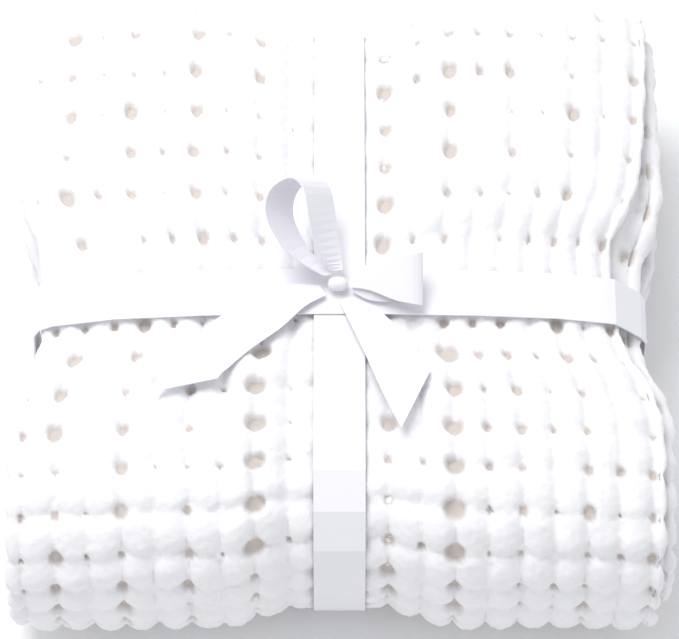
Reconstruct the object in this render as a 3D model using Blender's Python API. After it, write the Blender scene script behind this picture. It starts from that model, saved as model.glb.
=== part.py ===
"""Chunky knit throw folded in thirds and then in quarters, tied both ways with a satin ribbon and a bow.

The cloth is one solid. Its section across is a Z of three plies, and that section is carried along
the path of the two later folds: bottom, round the front, top, round the back, and into the middle.
X runs across the pack, Y from its front fold to its back, Z up. It lies on z = 0.
"""

import math

import bmesh
import bpy
import numpy as np

# Sizes of the folded pack, in metres.
WIDTH = 0.420
DEPTH = 0.416
PLY = 0.0120
PLY_GAP = 0.0015
LEVEL_GAP = 0.0020
PLY_PITCH = PLY + PLY_GAP
LEVEL = 3 * PLY + 2 * PLY_GAP
LEVEL_PITCH = LEVEL + LEVEL_GAP
HEIGHT = 4 * LEVEL + 3 * LEVEL_GAP
MIDDLE = HEIGHT / 2
FOLD_X = WIDTH / 2 - PLY_PITCH / 2 - PLY / 2

# Where the front and back folds are centred, and where the two free ends of the cloth stop.
FRONT_Y = -DEPTH / 2 + 1.5 * LEVEL_PITCH + LEVEL / 2
BACK_Y = DEPTH / 2 - 0.5 * LEVEL_PITCH - LEVEL / 2
LOWER_END_Y = 0.194
INNER_END_Y = 0.190
SQUARE_POWER = 2.5

# The ribbon, and how deep it draws the pack in.
RIBBON_WIDTH = 0.032
RIBBON_THICK = 0.0010
RIBBON_GAP = 0.0005
RIBBON_Y = -0.020
BAND_FLAT = 0.0205
WAIST_SHARE = 0.085
WAIST_REACH = 0.085
BACK_TAPER = 0.018
NOTCH_SHARE = 0.080
NOTCH_REACH = 0.075
PRESS_SHARE = 0.070
PRESS_REACH = 0.060
RECESS = 0.0040
RECESS_REACH = 0.045
KNOT_HALF = (0.0065, 0.0055, 0.0050)
BOW_LEAN = math.radians(62)

# How the top drops towards the sides and ends, and the underside lifts at the sides.
SIDE_DROP = 0.12
END_DROP = 0.05
SIDE_LIFT = 0.012

# The uneven stacking leaves the pack's box this far off the origin, and it is moved back.
CENTRE_X = -0.000625
CENTRE_Y = -0.000979

# Across a ply: shares of the half width at which its section has a point.
ACROSS = np.array([-1.0, -0.78, -0.48, -0.24, -0.10, 0.10, 0.24, 0.48, 0.78, 1.0])

# The uppermost ply stops short of the right side. Each row: travel along the cloth (0 lower end,
# 1 front fold, 2 top, 3 back fold, 4 inner end) and how far the edge is set in, in metres.
RIGHT_EDGE = (
    # travel, set in
    (0.0, 0.010),
    (1.0, 0.012),
    (1.5, 0.010),
    (2.0, 0.007),
    (2.3, 0.016),
    (2.5, 0.024),
    (2.75, 0.012),
    (3.0, 0.006),
    (4.0, 0.010),
)

# The layers don't stack quite true. Each row: travel along the cloth, and its shift across.
SIDE_SHIFT = (
    # travel, shift
    (0.0, 0.0015),
    (1.0, 0.0),
    (3.0, 0.0),
    (3.4, -0.0020),
    (4.0, 0.0025),
)


def clear_scene():
    for obj in list(bpy.data.objects):
        bpy.data.objects.remove(obj, do_unlink=True)


def make_material(name, colour, roughness):
    mat = bpy.data.materials.new(name)
    mat.use_nodes = True
    shader = mat.node_tree.nodes["Principled BSDF"]
    shader.inputs["Base Color"].default_value = (*colour, 1.0)
    shader.inputs["Roughness"].default_value = roughness
    shader.inputs["Metallic"].default_value = 0.0
    return mat


def dip(distance, flat, reach):
    """1 within flat of a line, easing to 0 at reach."""
    share = np.clip((np.abs(distance) - flat) / (reach - flat), 0.0, 1.0)
    return 1.0 - share * share * (3.0 - 2.0 * share)


def read_table(table, at):
    rows = np.array(table)
    return np.interp(at, rows[:, 0], rows[:, 1])


def fold_path():
    """Stations along the fold path: y, z, outward normal (ny, nz), travel, and ply thickness share."""
    low, high = RIBBON_Y - 0.0185, RIBBON_Y + 0.0185
    inner = [0.112, 0.056, high, low, -0.080]
    level = [LEVEL / 2 + k * LEVEL_PITCH for k in range(4)]
    rows = []

    def straight(ys, z, side, start, end):
        first, last = ys[0], ys[-1]
        for y in ys:
            share = (y - first) / (last - first)
            rows.append((y, z, 0.0, side, start + share * (end - start), 1.0))

    def turn(y, radius, z, steps, first, sweep, outward, start, end):
        for k in range(1, steps):
            angle = first + sweep * k / steps
            cy, cz = math.cos(angle), math.sin(angle)
            place = (y + radius * cy, z + radius * cz)
            travel = start + (end - start) * k / steps
            rows.append((*place, outward * cy, outward * cz, travel, 1.0))

    right = math.pi / 2
    straight([LOWER_END_Y, 0.187, *inner, FRONT_Y], level[0], -1.0, 0.0, 1.0)
    turn(FRONT_Y, 1.5 * LEVEL_PITCH, MIDDLE, 10, -right, -math.pi, 1.0, 1.0, 2.0)
    straight([FRONT_Y, *inner[::-1], BACK_Y], level[3], 1.0, 2.0, 3.0)
    back_z = (level[2] + level[3]) / 2
    turn(BACK_Y, LEVEL_PITCH / 2, back_z, 5, right, -math.pi, 1.0, 3.0, 3.1)
    straight([BACK_Y, *inner, FRONT_Y], level[2], -1.0, 3.1, 3.5)
    turn(FRONT_Y, LEVEL_PITCH / 2, MIDDLE, 4, right, math.pi, -1.0, 3.5, 3.6)
    straight([FRONT_Y, *inner[::-1], 0.183, INNER_END_Y], level[1], 1.0, 3.6, 4.0)
    path = np.array(rows)
    path[[0, -1], 5] = 0.6
    return path


def thirds_centreline(edge_x):
    """Middle line of the three plies: x, offset n, and its unit normal, one row a point."""
    radius = PLY_PITCH / 2
    top_x = ACROSS[::-1] * FOLD_X
    top_x = top_x + np.clip(ACROSS[::-1], 0.0, 1.0) ** 3 * (edge_x - FOLD_X)
    bend = np.radians([45.0, 90.0, 135.0])
    zero = np.zeros(len(ACROSS))
    one = np.ones(len(ACROSS))
    low_x = ACROSS[::-1] * FOLD_X + np.clip(-ACROSS[::-1], 0.0, 1.0) ** 3 * 0.008
    x = [top_x, -FOLD_X - radius * np.sin(bend), ACROSS * FOLD_X]
    x += [FOLD_X + radius * np.sin(bend), low_x]
    n = [zero + PLY_PITCH, radius + radius * np.cos(bend), zero]
    n += [-radius + radius * np.cos(bend), zero - PLY_PITCH]
    nx = [zero, -np.sin(bend), zero, -np.sin(bend), zero]
    nn = [one, np.cos(bend), -one, -np.cos(bend), one]
    return [np.concatenate(part) for part in (x, n, nx, nn)]


def settle(points):
    """The shape that a soft pack takes: squared front fold, dropped sides, and the ribbon's pull."""
    x, y, z = points[..., 0].copy(), points[..., 1].copy(), points[..., 2].copy()
    dy, dz = y - FRONT_Y, z - MIDDLE
    length = np.maximum(np.hypot(dy, dz), 1e-9)
    power = (np.abs(dy / length) ** SQUARE_POWER + np.abs(dz / length) ** SQUARE_POWER)
    square = np.where(dy < 0.0, power ** (-1.0 / SQUARE_POWER), 1.0)
    y, z = FRONT_Y + dy * square, MIDDLE + dz * square

    along, across = dip(x, BAND_FLAT, PRESS_REACH), dip(y - RIBBON_Y, BAND_FLAT, PRESS_REACH)
    pressed = 1.0 - (1.0 - along) * (1.0 - across)
    side, end = np.abs(x) / (WIDTH / 2), np.abs(y) / (DEPTH / 2)
    scale = 1.0 - SIDE_DROP * side**4 - END_DROP * end**4 - PRESS_SHARE * pressed
    groove = np.maximum(
        dip(x, BAND_FLAT, RECESS_REACH), dip(y - RIBBON_Y, BAND_FLAT, RECESS_REACH)
    )
    lift = RECESS * groove + SIDE_LIFT * np.clip((side - 0.8) / 0.2, 0.0, 1.0) ** 2
    height = z * scale + lift * np.clip(1.0 - z / HEIGHT, 0.0, 1.0)

    waist = dip(y - RIBBON_Y, BAND_FLAT, WAIST_REACH)
    notch = dip(x, BAND_FLAT, NOTCH_REACH)
    taper = 1.0 - BACK_TAPER * np.clip(y / (DEPTH / 2), 0.0, 1.0)
    new_x = x * taper * (1.0 - WAIST_SHARE * waist) - CENTRE_X
    new_y = RIBBON_Y + (y - RIBBON_Y) * (1.0 - NOTCH_SHARE * notch) - CENTRE_Y
    return np.stack([new_x, new_y, height], axis=-1)


def top_height(x, y):
    """Height of the pack's upper face at a place on it."""
    return settle(np.array([x, y, HEIGHT]))[2]


def blanket_rings():
    """The cloth's surface as rings of points, one ring for each station of the fold path."""
    rings = []
    for y, z, ny, nz, travel, share in fold_path():
        edge_x = WIDTH / 2 - PLY / 2 - read_table(RIGHT_EDGE, travel)
        x, n, nx, nn = thirds_centreline(edge_x)
        half = PLY / 2 * share
        upper = np.stack([x + half * nx, n + half * nn], axis=1)
        lower = np.stack([x - half * nx, n - half * nn], axis=1)
        first = np.array([[x[0] + half, n[0]]])
        last = np.array([[x[-1] - half, n[-1]]])
        ring = np.concatenate([first, upper, last, lower[::-1]])
        shift = read_table(SIDE_SHIFT, travel)
        place = np.stack(
            [ring[:, 0] + shift, y + ring[:, 1] * ny, z + ring[:, 1] * nz], axis=1
        )
        rings.append(place)
    return np.array(rings)


def add_object(name, verts, faces, mat, smooth=True):
    mesh = bpy.data.meshes.new(name)
    mesh.from_pydata([tuple(map(float, v)) for v in verts], [], faces)
    shell = bmesh.new()
    shell.from_mesh(mesh)
    bmesh.ops.triangulate(shell, faces=shell.faces[:])
    bmesh.ops.recalc_face_normals(shell, faces=shell.faces[:])
    shell.to_mesh(mesh)
    shell.free()
    mesh.materials.append(mat)
    if smooth:
        mesh.shade_smooth()
        mesh.set_sharp_from_angle(angle=math.radians(40))
    obj = bpy.data.objects.new(name, mesh)
    bpy.context.scene.collection.objects.link(obj)
    return obj


def ring_faces(stations, count, closed):
    """Quads between neighbouring rings of count points, the last joined to the first if closed."""
    faces = []
    for s in range(stations if closed else stations - 1):
        a, b = s * count, (s + 1) % stations * count
        for k in range(count):
            m = (k + 1) % count
            faces.append((a + k, a + m, b + m, b + k))
    return faces


def add_blanket(mat):
    rings = settle(blanket_rings())
    stations, count = rings.shape[:2]
    half = count // 2 - 1
    faces = ring_faces(stations, count, False)
    for base in (0, (stations - 1) * count):
        upper = [base + 1 + k for k in range(half)]
        lower = [base + count - 1 - k for k in range(half)]
        faces.append((base, upper[0], lower[0]))
        faces.append((base + half + 1, upper[-1], lower[-1]))
        for k in range(half - 1):
            faces.append((upper[k], upper[k + 1], lower[k + 1], lower[k]))
    add_object("blanket", rings.reshape(-1, 3), faces, mat)
    return rings.reshape(-1, 3)


def hull(points):
    """The convex outline of points in a plane, counter-clockwise."""
    ordered = sorted(set(map(tuple, np.round(points, 6))))

    def chain(items):
        kept = []
        for p in items:
            while len(kept) > 1:
                (ax, ay), (bx, by) = kept[-2], kept[-1]
                if (bx - ax) * (p[1] - ay) - (by - ay) * (p[0] - ax) > 1e-9:
                    break
                kept.pop()
            kept.append(p)
        return kept[:-1]

    return np.array(chain(ordered) + chain(ordered[::-1]))


def grown(outline, distance):
    """A convex counter-clockwise outline moved out by distance, corners mitred."""
    edge = np.roll(outline, -1, axis=0) - outline
    edge /= np.linalg.norm(edge, axis=1)[:, None]
    normal = np.stack([edge[:, 1], -edge[:, 0]], axis=1)
    before = np.roll(normal, 1, axis=0)
    share = 1.0 + (normal * before).sum(axis=1)
    return outline + distance * (normal + before) / share[:, None]


def add_band(name, outline, axis, middle, mat):
    """A taut band round the pack: the outline of the section below it, extruded to the ribbon's width."""
    inner, outer = grown(outline, RIBBON_GAP), grown(outline, RIBBON_GAP + RIBBON_THICK)
    half = RIBBON_WIDTH / 2
    rings = []
    for a, b in zip(inner, outer, strict=True):
        for (u, v), w in ((a, -half), (a, half), (b, half), (b, -half)):
            rings.append((middle + w, u, v) if axis == "x" else (u, middle + w, v))
    faces = ring_faces(len(outline), 4, True)
    add_object(name, rings, faces, mat)
    return outer


def smooth_rows(rows, per_row):
    """Values between the rows of a table by Catmull-Rom, so that a strip bends evenly."""
    rows = np.array(rows, float)
    padded = np.concatenate([2 * rows[:1] - rows[1:2], rows, 2 * rows[-1:] - rows[-2:-1]])
    out = []
    for k in range(len(rows) - 1):
        a, b, c, d = padded[k : k + 4]
        for t in np.arange(per_row) / per_row:
            out.append(
                0.5 * (2 * b + (c - a) * t + (2 * a - 5 * b + 4 * c - d) * t * t
                       + (3 * b - a - 3 * c + d) * t**3)
            )
    return np.array(out + [rows[-1]])


def add_strip(name, rows, mat, per_row=3):
    """A ribbon strip, ruled along the direction of its width. Each row: x, y and z of its middle, its
    width, that direction, and how far one corner of its end is cut ahead of the middle."""
    rows = smooth_rows(rows, per_row)
    middle, wide = rows[:, :3], rows[:, 4:7]
    along = np.gradient(middle, axis=0)
    along /= np.linalg.norm(along, axis=1)[:, None]
    wide /= np.linalg.norm(wide, axis=1)[:, None]
    up = np.cross(along, wide)
    up *= RIBBON_THICK / 2 / np.linalg.norm(up, axis=1)[:, None]
    half, skew = rows[:, 3:4] / 2, rows[:, 7:8]
    left, right = middle - half * wide - skew * along, middle + half * wide + skew * along
    rings = np.stack([left - up, right - up, right + up, left + up], axis=1)
    faces = ring_faces(len(rings), 4, False)
    last = 4 * (len(rings) - 1)
    faces += [(0, 1, 2, 3), (last, last + 1, last + 2, last + 3)]
    add_object(name, rings.reshape(-1, 3), faces, mat)


def add_knot(base, mat):
    """The small tight knot: a rounded lump, pinched at its middle."""
    mesh = bmesh.new()
    bmesh.ops.create_uvsphere(mesh, u_segments=12, v_segments=8, radius=1.0)
    for v in mesh.verts:
        x, y, z = v.co
        pinch = 1.0 - 0.18 * (1.0 - abs(x))
        size = (KNOT_HALF[0] * x, KNOT_HALF[1] * y * pinch, KNOT_HALF[2] * z)
        v.co = [middle + part for middle, part in zip(base, size, strict=True)]
    verts = [tuple(v.co) for v in mesh.verts]
    faces = [tuple(v.index for v in f.verts) for f in mesh.faces]
    mesh.free()
    add_object("bow_knot", verts, faces, mat)


def in_bow_frame(base, rows):
    """Rows of the leaning frame of the bow, in millimetres, as rows of the pack's frame."""
    right = np.array([1.0, 0.0, 0.0])
    rise = np.array([0.0, math.sin(BOW_LEAN), math.cos(BOW_LEAN)])
    out = np.array([0.0, -math.cos(BOW_LEAN), math.sin(BOW_LEAN)])
    frame = np.stack([right, rise, out])
    rows = np.array(rows, float)
    middle = np.array(base) + rows[:, :3] @ frame / 1000.0
    zero = np.zeros((len(rows), 1))
    return np.concatenate([middle, rows[:, 3:4] / 1000.0, rows[:, 4:7] @ frame, zero], axis=1)


def on_pack(rows):
    """Rows of a free end that lies on the pack: x, y, height above the pack, width, direction of the
    width and cut, in millimetres, as rows of the pack's frame."""
    rows = np.array(rows, float)
    rows[:, [0, 1, 2, 3, 7]] /= 1000.0
    rows[:, 2] += [top_height(x, y) for x, y in rows[:, :2]]
    return rows


# The bow's loops in its leaning frame. Columns: right, rise, out, width, and the direction of the
# width as right, rise and out.
LOOP_LEFT = (
    (-5.5, 5.5, 1.0, 9.0, 0.80, 0.10, -0.60),
    (-23.5, 18.8, 4.0, 24.0, 0.60, 0.00, -0.80),
    (-34.8, 37.0, 6.0, 31.0, 0.53, 0.00, -0.85),
    (-36.7, 49.6, 6.0, 32.0, 0.53, 0.00, -0.85),
    (-32.3, 60.2, 6.0, 32.0, 0.53, 0.00, -0.85),
    (-21.6, 66.0, 6.0, 32.0, 0.53, 0.00, -0.85),
    (-13.5, 60.0, 6.0, 32.0, 0.53, 0.00, -0.85),
    (-10.4, 44.6, 6.0, 32.0, 0.53, 0.00, -0.85),
    (-7.8, 28.9, 5.0, 27.0, 0.60, 0.00, -0.80),
    (-3.6, 15.0, 3.0, 16.0, 0.75, 0.00, -0.66),
    (-1.0, 8.5, 1.0, 8.0, 0.95, 0.05, -0.30),
)
LOOP_RIGHT = (
    (8.3, 1.8, 1.0, 8.0, 0.0, -1.0, 0.0),
    (20.0, 4.5, 4.5, 17.0, 0.0, -1.0, 0.0),
    (36.0, 3.2, 9.0, 27.0, 0.0, -1.0, 0.0),
    (47.0, 3.0, 10.2, 31.0, 0.0, -1.0, 0.0),
    (52.5, 3.0, 7.2, 33.0, 0.0, -1.0, 0.0),
    (47.0, 3.0, 4.2, 31.0, 0.0, -1.0, 0.0),
    (36.0, 1.5, 3.2, 26.0, 0.0, -1.0, 0.0),
    (20.0, -2.2, 1.2, 16.0, 0.0, -1.0, 0.0),
    (8.8, -1.6, -1.3, 6.0, 0.0, -1.0, 0.0),
)

# The free ends. Columns: x, y, height above the pack, width, direction of the width, cut.
TAIL_LEFT = (
    (-10.5, -21.5, 6.5, 8.0, -0.50, 0.86, 0.00, 0.0),
    (-27.3, -26.5, 8.5, 18.0, -0.62, 0.78, 0.10, 0.0),
    (-44.9, -38.0, 8.0, 26.0, -0.67, 0.74, 0.15, 0.0),
    (-67.5, -56.0, 7.0, 29.0, -0.67, 0.74, 0.10, 1.0),
    (-84.0, -76.0, 5.5, 30.0, -0.67, 0.74, 0.05, 9.0),
    (-95.8, -92.2, 4.5, 30.0, -0.67, 0.74, 0.00, 18.6),
)
TAIL_RIGHT = (
    (3.5, -27.5, 6.0, 8.0, 0.96, 0.28, 0.00, 0.0),
    (14.5, -39.5, 8.5, 19.0, 0.93, 0.36, 0.10, 0.0),
    (28.0, -61.0, 8.0, 27.0, 0.90, 0.44, 0.10, -1.0),
    (38.5, -83.0, 6.5, 32.0, 0.88, 0.47, 0.05, -5.0),
    (46.8, -101.4, 5.5, 33.0, 0.88, 0.47, 0.00, -13.7),
)


def add_bow(mat):
    base = (-0.0010, RIBBON_Y + 0.0015, top_height(0.0, RIBBON_Y) + 0.0095)
    add_knot(base, mat)
    add_strip("bow_loop_left", in_bow_frame(base, LOOP_LEFT), mat)
    add_strip("bow_loop_right", in_bow_frame(base, LOOP_RIGHT), mat)
    add_strip("bow_tail_left", on_pack(TAIL_LEFT), mat, 4)
    add_strip("bow_tail_right", on_pack(TAIL_RIGHT), mat, 4)


def main():
    clear_scene()
    knit = make_material("white_knit", (0.83, 0.82, 0.86), 0.95)
    satin = make_material("satin_ribbon", (0.84, 0.83, 0.88), 0.35)
    points = add_blanket(knit)
    strip = points[np.abs(points[:, 0]) < BAND_FLAT + 0.001]
    outer = add_band("ribbon_lengthwise", hull(strip[:, 1:]), "x", 0.0, satin)
    strip = points[np.abs(points[:, 1] - RIBBON_Y) < BAND_FLAT + 0.001][:, [0, 2]]
    half = RIBBON_WIDTH / 2
    crossing = [(x, z) for x in (-half, half) for z in (outer[:, 1].min(), outer[:, 1].max())]
    add_band("ribbon_crosswise", hull(np.concatenate([strip, crossing])), "y", RIBBON_Y, satin)
    add_bow(satin)


main()
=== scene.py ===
import math

import bpy
import numpy as np
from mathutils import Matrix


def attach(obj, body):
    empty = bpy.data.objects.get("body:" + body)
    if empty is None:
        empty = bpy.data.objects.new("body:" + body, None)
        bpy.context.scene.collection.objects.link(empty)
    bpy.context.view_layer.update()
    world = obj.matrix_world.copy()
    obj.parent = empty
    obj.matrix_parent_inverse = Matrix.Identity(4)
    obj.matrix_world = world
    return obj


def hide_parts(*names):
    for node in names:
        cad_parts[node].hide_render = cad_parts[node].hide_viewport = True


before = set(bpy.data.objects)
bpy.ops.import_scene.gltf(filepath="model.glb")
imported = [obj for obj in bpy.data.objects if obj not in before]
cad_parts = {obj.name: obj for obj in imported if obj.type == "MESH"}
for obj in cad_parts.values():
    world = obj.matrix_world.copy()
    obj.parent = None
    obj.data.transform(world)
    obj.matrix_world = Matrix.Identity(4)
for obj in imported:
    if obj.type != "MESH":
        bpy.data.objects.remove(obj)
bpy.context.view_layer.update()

# The blanket: one piece of hand-knitted chenille yarn as thick as a thumb, its stitches so long
# that they lie as pairs of plump ropes with gaps between. It is folded in thirds across and then
# in quarters, and the tight ribbon draws its waist in.
WIDTH = 0.420
DEPTH = 0.416
PLY = 0.0120
PLY_GAP = 0.0015
LEVEL_GAP = 0.0020
PLY_PITCH = PLY + PLY_GAP
LEVEL = 3 * PLY + 2 * PLY_GAP
LEVEL_PITCH = LEVEL + LEVEL_GAP
HEIGHT = 4 * LEVEL + 3 * LEVEL_GAP
MIDDLE = HEIGHT / 2
FOLD_X = WIDTH / 2 - PLY_PITCH / 2 - PLY / 2
FRONT_Y = -DEPTH / 2 + 1.5 * LEVEL_PITCH + LEVEL / 2
BACK_Y = DEPTH / 2 - 0.5 * LEVEL_PITCH - LEVEL / 2
LOWER_END_Y = 0.194
INNER_END_Y = 0.190
SQUARE_POWER = 2.5
RIBBON_Y = -0.020
BAND_FLAT = 0.0205
WAIST_SHARE, WAIST_REACH = 0.085, 0.085
NOTCH_SHARE, NOTCH_REACH = 0.080, 0.075
BACK_TAPER = 0.018
PRESS_SHARE, PRESS_REACH = 0.070, 0.060
RECESS, RECESS_REACH = 0.0040, 0.045
SIDE_DROP, END_DROP, SIDE_LIFT = 0.12, 0.05, 0.012
CENTRE_X, CENTRE_Y = -0.000625, -0.000979
# Where the ribbon crosses the cloth on top and underneath, as travel along the cloth.
RIBBON_TOP = 2 + (RIBBON_Y - FRONT_Y) / (BACK_Y - FRONT_Y)
RIBBON_UNDER = (LOWER_END_Y - RIBBON_Y) / (LOWER_END_Y - FRONT_Y)
# Travel along the cloth, 0 at its lower end, 1 front fold, 2 top, 3 back fold, 4 inner end, and
# there: how far the uppermost ply's right edge is set in, how far the layer is shifted across,
# and the number of knitted rows so far.
RIGHT_EDGE = ((0, .010), (1, .012), (1.5, .010), (2, .007), (2.3, .016), (2.5, .024), (2.75, .012), (3, .006), (4, .010))
SIDE_SHIFT = ((0, .0015), (1, 0), (3, 0), (3.4, -.0020), (4, .0025))
ROW_COUNT = ((0, 0), (1, 11.5), (2, 20.6), (RIBBON_TOP, 24.7), (3, 30.9), (3.1, 35.0), (3.5, 45.7), (3.6, 47.9), (4, 58.5))
ROPE = 0.0205
ROPE_START = -0.0115
ROW = 0.027


def dip(distance, flat, reach):
    """1 within flat of a line, easing to 0 at reach: 1 - 3s^2 + 2s^3 of the share s between."""
    share = np.clip((np.abs(distance) - flat) / (reach - flat), 0.0, 1.0)
    return 1.0 - share * share * (3.0 - 2.0 * share)


def read_table(rows, at):
    rows = np.array(rows, float)
    return np.interp(at, rows[:, 0], rows[:, 1])


def settle(x, y, z):
    """The soft pack's shape: the front fold made squarer by a superellipse, the top dropped with the
    fourth power of the way to each side, and the ribbon's lines drawn in and down."""
    dy, dz = y - FRONT_Y, z - MIDDLE
    length = np.maximum(np.hypot(dy, dz), 1e-9)
    power = np.abs(dy / length) ** SQUARE_POWER + np.abs(dz / length) ** SQUARE_POWER
    square = np.where(dy < 0, power ** (-1 / SQUARE_POWER), 1.0)
    y, z = FRONT_Y + dy * square, MIDDLE + dz * square
    along, across = dip(x, BAND_FLAT, PRESS_REACH), dip(y - RIBBON_Y, BAND_FLAT, PRESS_REACH)
    side, end = np.abs(x) / (WIDTH / 2), np.abs(y) / (DEPTH / 2)
    scale = 1 - SIDE_DROP * side**4 - END_DROP * end**4 - PRESS_SHARE * (1 - (1 - along) * (1 - across))
    groove = np.maximum(dip(x, BAND_FLAT, RECESS_REACH), dip(y - RIBBON_Y, BAND_FLAT, RECESS_REACH))
    lift = RECESS * groove + SIDE_LIFT * np.clip((side - 0.8) / 0.2, 0, 1) ** 2
    height = z * scale + lift * np.clip(1 - z / HEIGHT, 0, 1)
    taper = 1 - BACK_TAPER * np.clip(y / (DEPTH / 2), 0, 1)
    x = x * taper * (1 - WAIST_SHARE * dip(y - RIBBON_Y, BAND_FLAT, WAIST_REACH)) - CENTRE_X
    y = RIBBON_Y + (y - RIBBON_Y) * (1 - NOTCH_SHARE * dip(x, BAND_FLAT, NOTCH_REACH)) - CENTRE_Y
    return x, y, height


def straight(y0, y1, count, level, side, t0, t1):
    """Stations of a flat run at a level: y, z, outward ny and nz, and travel."""
    share = np.linspace(0, 1, count)
    y = y0 + (y1 - y0) * share
    z = np.full(count, LEVEL / 2 + level * LEVEL_PITCH)
    return np.stack([y, z, 0 * y, 0 * y + side, t0 + (t1 - t0) * share])


def turn(y, z, radius, count, first, sweep, outward, t0, t1):
    """Stations of a half-round fold about y, z, without its two ends."""
    share = np.linspace(0, 1, count + 2)[1:-1]
    a = first + sweep * share
    return np.stack([y + radius * np.cos(a), z + radius * np.sin(a), outward * np.cos(a), outward * np.sin(a), t0 + (t1 - t0) * share])


def section_columns(top, fold, hidden):
    """Columns round the section of three plies: x, offset n, normal nx and nn, side (+1 or -1 of the
    ply's middle line), across (metres of knit), knitted (0 or 1) and how much follows the right edge."""
    radius = PLY_PITCH / 2
    wide = np.linspace(1, -1, top) * FOLD_X
    few = np.linspace(1, -1, hidden)[1:-1] * FOLD_X
    bend = np.linspace(0, np.pi, fold + 2)[1:-1]
    coarse = np.linspace(0, np.pi, 7)[1:-1]
    near = FOLD_X * (1 - 0.42 * np.linspace(1, 0, fold) ** 1.0)
    cols = []

    def add(x, n, nx, nn, side, across, knitted, follow=0.0):
        cols.append(np.stack(np.broadcast_arrays(x, n, nx, nn, side, across, knitted, follow)))

    def ends(x):
        return np.clip(x / FOLD_X, 0, 1) ** 3

    tip = np.linspace(np.pi / 2, 0, 5)[1:]
    add(wide, PLY_PITCH, 0, 1, 1, wide, 1, ends(wide))
    add(-FOLD_X - radius * np.sin(bend), radius + radius * np.cos(bend), -np.sin(bend), np.cos(bend), 1, -FOLD_X - (radius + PLY / 2) * bend, 1)
    add(-wide[-1:] * 0 - FOLD_X, 0, 0, -1, 1, 0, 0)
    add(-few, 0, 0, -1, 1, 0, 0)
    add(FOLD_X + radius * np.sin(coarse), -radius + radius * np.cos(coarse), -np.sin(coarse), -np.cos(coarse), 1, 0, 0)
    add(few, -PLY_PITCH, 0, 1, 1, 0, 0)
    add(np.array([-FOLD_X + 0.008]), -PLY_PITCH, 0, 1, 1, 0, 0)
    edge = np.linspace(np.pi / 2, -np.pi / 2, 9)[1:-1]
    add(-FOLD_X + 0.008, -PLY_PITCH, -np.cos(edge), np.sin(edge), 1, 0, 0)
    add(np.array([-FOLD_X + 0.008]), -PLY_PITCH, 0, 1, -1, 0, 0)
    add(-few, -PLY_PITCH, 0, 1, -1, 0, 0)
    add(FOLD_X + radius * np.sin(bend[::-1]), -radius + radius * np.cos(bend[::-1]), -np.sin(bend[::-1]), -np.cos(bend[::-1]), -1, FOLD_X + (radius + PLY / 2) * bend, 1)
    add(near[::-1], 0, 0, -1, -1, near[::-1], 1)
    add(few[few < near[0]], 0, 0, -1, -1, 0, 0)
    add(-FOLD_X - radius * np.sin(coarse[::-1]), radius + radius * np.cos(coarse[::-1]), -np.sin(coarse[::-1]), np.cos(coarse[::-1]), -1, 0, 0)
    add(-few, PLY_PITCH, 0, 1, -1, 0, 0, ends(-few))
    add(np.array([FOLD_X]), PLY_PITCH, 0, 1, -1, FOLD_X, 0, 1)
    add(FOLD_X, PLY_PITCH, np.cos(edge[::-1]), np.sin(edge[::-1]), 1, FOLD_X + PLY / 2 * (np.pi / 2 - edge[::-1]), 1, 1)
    return np.concatenate(cols, axis=1)


def chance(i, k, salt):
    """An even number from 0 to 1 for rope i and row k: the fraction of a large sine."""
    wave = np.sin(i * 12.9898 + k * 78.233 + salt * 37.719) * 43758.5453
    return wave - np.floor(wave)


def ripple(points, length, salt):
    """A soft random swell, about -1 to 1: the mean of plane sines of about that wavelength."""
    draw = np.random.default_rng(salt)
    total = 0.0
    for _ in range(14):
        way = draw.normal(size=3)
        way *= 2 * np.pi / (length * draw.uniform(0.7, 1.4) * np.linalg.norm(way))
        total = total + np.sin(sum(points[j] * way[j] for j in range(3)) + draw.uniform(0, 6.283))
    return total / 3.7


# Gaps that stand out: where across and at which rows they run, and how much wider they are.
LADDERS = ((-0.0525, 17.5, 24.5, 1.9), (0.0705, 17.5, 23.0, 1.6), (0.0295, 25.5, 31.5, 1.1), (-0.0935, 25.0, 31.0, 1.1))


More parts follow.
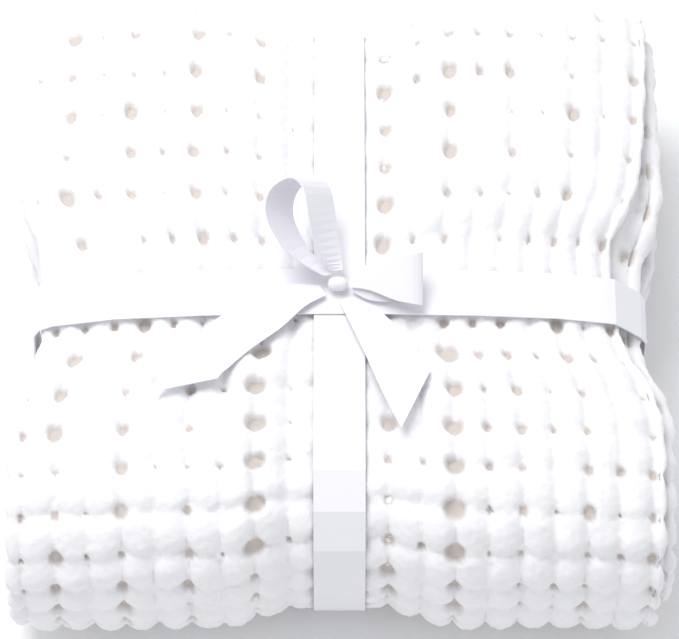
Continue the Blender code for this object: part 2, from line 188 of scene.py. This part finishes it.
def knit(u, row, loft):
    """How far the knit lies below its highest rope, and how much of a gap it is, 0 to 1. Each leg of a
    stitch is a half ellipsoid, its two legs leaning apart like a V; the sixth-power sum of all of
    them is the surface, and gaps are sunk where four legs meet."""
    i0, k0 = np.floor((u - ROPE_START) / ROPE), np.floor(row)
    total = np.zeros_like(u)
    for di in (-1, 0, 1):
        for dk in (-1, 0, 1):
            i, k = i0 + di, k0 + dk
            lean = np.where(i % 2 == 0, -1.0, 1.0)
            du = u - (ROPE_START + (i + 0.5) * ROPE) - 0.0016 * (chance(i, k, 1) - 0.5)
            dv = (row - k - 0.5 - 0.16 * (chance(i, k, 2) - 0.5)) * ROW
            du = du - lean * 0.085 * dv
            wide = 0.0112 * (0.95 + 0.10 * chance(i, k, 3))
            long = 0.0200 - 0.0035 * loft
            high = 0.0086 * (0.90 + 0.13 * chance(i, k, 4))
            inside = 1 - (du / wide) ** 2 - (dv / long) ** 2
            total += (high * np.sqrt(np.maximum(inside, 0))) ** 6
    height = total ** (1 / 6)
    joint = np.round((u - ROPE_START) / ROPE)
    bar = np.floor(row + 0.5)
    strong = joint % 2 == 0
    size = np.where(strong, 0.35 + 0.75 * chance(joint, bar, 5), 0.75 * chance(joint, bar, 6) - 0.15)
    size = size * (0.75 + 0.5 * chance(joint, 0 * bar, 7))
    du, dv = u - (ROPE_START + joint * ROPE) - 0.002 * (chance(joint, bar, 8) - 0.5), (row - bar) * ROW
    across, down = 0.0042 * np.ones_like(u), 0.0050 * np.ones_like(u)
    for place, first, last, more in LADDERS:
        at = (np.abs(ROPE_START + joint * ROPE - place) < 0.002) & (bar >= first) & (bar <= last)
        size = np.where(at, np.maximum(size, 0.8), size)
        across = np.where(at, across * more, across)
        down = np.where(at, down * (0.6 + 0.4 * more), down)
    size = np.clip(size, 0, 1.15)
    far = np.sqrt((du / (across * size + 1e-5)) ** 2 + (dv / (down * size + 1e-5)) ** 2)
    gap = np.clip((1.25 - far) / 0.5, 0, 1) * (size > 0.12)
    gap = gap * gap * (3 - 2 * gap)
    floor = np.where(strong, 0.0016, 0.0030)
    height = (height**4 + floor**4) ** 0.25
    depth = 0.0088 - height * (1 - gap)
    return np.clip(depth, -0.0006, 0.0096), gap


def grid_piece(name, points, gap, mat, caps=True):
    """A closed mesh from rings of points (station, column, xyz), the first and last ring capped by a fan."""
    stations, columns = points.shape[:2]
    index = np.arange(stations * columns).reshape(stations, columns)
    a, b = index[:-1], index[1:]
    quads = np.stack([a, np.roll(a, -1, 1), np.roll(b, -1, 1), b], axis=-1).reshape(-1, 4)
    tips = points[[0, -1]].mean(axis=1)
    verts = np.concatenate([points.reshape(-1, 3), tips])
    n = stations * columns
    first, last = index[0], index[-1]
    fans = np.concatenate([
        np.stack([np.roll(first, -1), first, np.full(columns, n)], axis=1),
        np.stack([last, np.roll(last, -1), np.full(columns, n + 1)], axis=1),
    ])
    mesh = bpy.data.meshes.new(name)
    mesh.from_pydata(verts, [], quads.tolist() + fans.tolist())
    mesh.shade_smooth()
    # The gap share is kept as a point attribute, and the knit's material uses it to darken the gaps with painted shade.
    if gap is not None:
        layer = mesh.attributes.new("gap", "FLOAT", "POINT")
        layer.data.foreach_set("value", np.concatenate([gap.ravel(), [0.0, 0.0]]).astype(np.float32))
    mesh.materials.append(mat)
    obj = bpy.data.objects.new(name, mesh)
    bpy.context.scene.collection.objects.link(obj)
    return obj


def knit_piece(name, stations, columns, mat, share=None):
    """A stretch of the folded cloth: the section of thirds carried along its stations."""
    y, z, ny, nz, travel = stations[:, :, None]
    x, n, nx, nn, side, across, knitted, follow = columns[:, None, :]
    half = PLY / 2 * (np.ones(y.shape) if share is None else share[:, None])
    edge_x = WIDTH / 2 - PLY / 2 - read_table(RIGHT_EDGE, travel)
    row = read_table(ROW_COUNT, travel) + 0.0 * x
    loft = np.clip(1.6 * np.abs(ny), 0, 1) + 0 * x
    depth, gap = knit(across + 0.0 * y, row, loft)
    lumps = ripple((across * 1.0 + 0 * y, row * ROW, 0.3 * n + 0 * y), 0.0045, 5)
    swell = ripple((across * 1.0 + 0 * y, row * ROW, 0.3 * n + 0 * y), 0.013, 6)
    depth = knitted * np.clip(depth + 0.00035 * lumps + 0.0005 * swell + 0.0008, 0.0, 0.0098)
    out = side * np.maximum(half - depth, -0.8 * half)
    px = x + follow * (edge_x - FOLD_X) + out * nx + read_table(SIDE_SHIFT, travel)
    offset = n + out * nn
    shape = np.broadcast(px, offset, y).shape
    place = settle(np.broadcast_to(px, shape), y + offset * ny, z + offset * nz)
    return grid_piece(name, np.stack(np.broadcast_arrays(*place), axis=-1), gap * knitted, mat)


class Value:
    """A shader socket that adds Math nodes when it is used in an expression."""

    def __init__(self, tree, socket):
        self.tree, self.socket = tree, socket

    def math(self, operation, first, second):
        node = self.tree.node("ShaderNodeMath", {"operation": operation}, {0: first, 1: second})
        return Value(self.tree, node.outputs[0])

    def __add__(self, other): return self.math("ADD", self, other)
    def __radd__(self, other): return self.math("ADD", other, self)
    def __sub__(self, other): return self.math("SUBTRACT", self, other)
    def __rsub__(self, other): return self.math("SUBTRACT", other, self)
    def __mul__(self, other): return self.math("MULTIPLY", self, other)
    def __rmul__(self, other): return self.math("MULTIPLY", other, self)


class Finish:
    """A material and its one way of adding nodes."""

    def __init__(self, name):
        self.mat = bpy.data.materials.new(name)
        self.mat.use_nodes = True
        self.tree = self.mat.node_tree
        self.shader = self.tree.nodes["Principled BSDF"]

    def node(self, kind, settings, inputs):
        made = self.tree.nodes.new(kind)
        for key, value in settings.items():
            if key == "stops":
                ramp = made.color_ramp
                while len(ramp.elements) < len(value):
                    ramp.elements.new(0.5)
                for stop, (place, colour) in zip(ramp.elements, value, strict=True):
                    stop.position, stop.color = place, (*colour, 1)
            else:
                setattr(made, key, value)
        for key, value in inputs.items():
            self.feed(made.inputs[key], value)
        return made

    def feed(self, socket, value):
        if isinstance(value, Value):
            value = value.socket
        if isinstance(value, bpy.types.NodeSocket):
            self.tree.links.new(value, socket)
        else:
            socket.default_value = value

    def value(self, made, output=0):
        return Value(self, made.outputs[output])

    def set(self, **inputs):
        for key, value in inputs.items():
            self.feed(self.shader.inputs[key.replace("_", " ")], value)


YARN = (0.905, 0.900, 0.925)
# The second colour is painted shade: the dark beige of the shaded ply below, mixed in where the knit has gaps.
GAP_PAINTED_SHADE = (0.56, 0.49, 0.44)
knit_finish = Finish("white_chenille")
place = knit_finish.node("ShaderNodeTexCoord", {}, {}).outputs["Object"]
gap_shade_mask = knit_finish.value(knit_finish.node("ShaderNodeAttribute", {"attribute_name": "gap"}, {}), "Fac")
pile = knit_finish.value(knit_finish.node("ShaderNodeTexNoise", {}, {"Vector": place, "Scale": 420.0, "Detail": 4.0, "Roughness": 0.7}))
nub = knit_finish.value(knit_finish.node("ShaderNodeTexNoise", {}, {"Vector": place, "Scale": 160.0, "Detail": 3.0, "Roughness": 0.6}))
# Painted shade: the base colour darkens towards the gap colour as the gap share rises.
gap_shade_mix = knit_finish.node("ShaderNodeMix", {"data_type": "RGBA"}, {"Factor": gap_shade_mask * 0.85, "A": (*YARN, 1), "B": (*GAP_PAINTED_SHADE, 1)})
bump = knit_finish.node("ShaderNodeBump", {}, {"Strength": 0.55, "Distance": 0.0016, "Height": pile * 0.5 + nub * 0.5})
knit_finish.feed(knit_finish.shader.inputs["Base Color"], gap_shade_mix.outputs["Result"])
knit_finish.set(Roughness=0.95, Normal=bump.outputs[0])
knit_finish.shader.inputs["Sheen Weight"].default_value = 0.25
knit_finish.shader.inputs["Sheen Roughness"].default_value = 0.6

HALF_TURN = math.pi
under = straight(RIBBON_Y - 0.0002, FRONT_Y, 24, 0, -1, RIBBON_UNDER, 1.0)
front = turn(FRONT_Y, MIDDLE, 1.5 * LEVEL_PITCH, 124, -HALF_TURN / 2, -HALF_TURN, 1, 1.0, 2.0)
top_front = straight(FRONT_Y, RIBBON_Y - 0.0002, 60, 3, 1, 2.0, RIBBON_TOP)
top_back = straight(RIBBON_Y + 0.0002, BACK_Y, 92, 3, 1, RIBBON_TOP, 3.0)
back_z = LEVEL / 2 + 2.5 * LEVEL_PITCH
back = turn(BACK_Y, back_z, LEVEL_PITCH / 2, 52, HALF_TURN / 2, -HALF_TURN, 1, 3.0, 3.1)
second = straight(BACK_Y, 0.100, 16, 2, -1, 3.1, 3.188)
inner_run = straight(0.100, FRONT_Y, 36, 2, -1, 3.188, 3.5)
inner_fold = turn(FRONT_Y, MIDDLE, LEVEL_PITCH / 2, 14, HALF_TURN / 2, HALF_TURN, -1, 3.5, 3.6)
third = straight(FRONT_Y, INNER_END_Y, 52, 1, 1, 3.6, 4.0)
lowest = straight(LOWER_END_Y, RIBBON_Y + 0.0002, 40, 0, -1, 0.0, RIBBON_UNDER)
fine, coarse_columns = section_columns(250, 20, 14), section_columns(84, 14, 14)


def rounded(count, first, last):
    """The ply's thickness share along a run, its first or last stations rounded off."""
    share = np.ones(count)
    taper = np.sqrt(1 - np.linspace(1, 0, 6)[:-1] ** 2 * 0.85)
    if first:
        share[:5] = taper
    if last:
        share[-5:] = taper[::-1]
    return share


blanket_front = knit_piece("blanket_front", np.concatenate([under[:, :-1], under[:, -1:], front, top_front], axis=1), fine, knit_finish.mat)
blanket_back = knit_piece("blanket_back", np.concatenate([top_back, back, second], axis=1), fine, knit_finish.mat)
inner = np.concatenate([inner_run, inner_fold, third], axis=1)
blanket_inner = knit_piece("blanket_inner", inner, coarse_columns, knit_finish.mat, rounded(inner.shape[1], False, True))
blanket_under = knit_piece("blanket_under", lowest, coarse_columns, knit_finish.mat, rounded(lowest.shape[1], True, False))
# Each stretch is attached to the root body. The lengths listed beside them, each stretch's run along the folds of the
# throw's 1.27 m width, are not used.
for piece, length in ((blanket_front, 0.41), (blanket_back, 0.32), (blanket_inner, 0.61), (blanket_under, 0.21)):
    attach(piece, "root")
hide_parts("blanket")

# The studio: a plain pale surface, a broad soft light overhead and the pack seen from above.
floor_mesh = bpy.data.meshes.new("floor")
floor_mesh.from_pydata([(-6, -6, -0.0003), (6, -6, -0.0003), (6, 6, -0.0003), (-6, 6, -0.0003)], [], [(0, 1, 2, 3)])
floor = bpy.data.objects.new("floor", floor_mesh)
bpy.context.scene.collection.objects.link(floor)
floor_finish = Finish("pale_surface")
floor_finish.set(Base_Color=(0.93, 0.93, 0.93, 1), Roughness=0.9)
floor_mesh.materials.append(floor_finish.mat)

world = bpy.data.worlds.new("studio")
bpy.context.scene.world = world
world.use_nodes = True
world.node_tree.nodes["Background"].inputs["Color"].default_value = (0.97, 0.98, 1.0, 1)
world.node_tree.nodes["Background"].inputs["Strength"].default_value = 0.75


def add_light(name, place, aim, size, power):
    light = bpy.data.lights.new(name, "AREA")
    light.shape, light.size, light.energy = "DISK", size, power
    obj = bpy.data.objects.new(name, light)
    obj.location = place
    way = np.array(aim, float) - np.array(place, float)
    obj.rotation_euler = (math.atan2(math.hypot(way[0], way[1]), -way[2]), 0, math.atan2(-way[0], way[1]))
    bpy.context.scene.collection.objects.link(obj)


add_light("overhead", (-0.5, 0.5, 1.8), (0, 0, 0), 1.2, 22)

TARGET = (0.0, 0.0, 0.078)
ELEVATION = math.radians(62)
DISTANCE = 2.6
camera = bpy.data.cameras.new("camera")
camera.lens = 214
camera.sensor_width = 36
camera.clip_end = 30
eye = bpy.data.objects.new("camera", camera)
eye.location = (TARGET[0], TARGET[1] - DISTANCE * math.cos(ELEVATION), TARGET[2] + DISTANCE * math.sin(ELEVATION))
eye.rotation_euler = (math.pi / 2 - ELEVATION, 0, 0)
bpy.context.scene.collection.objects.link(eye)
bpy.context.scene.camera = eye
bpy.context.scene.view_settings.view_transform = "Standard"
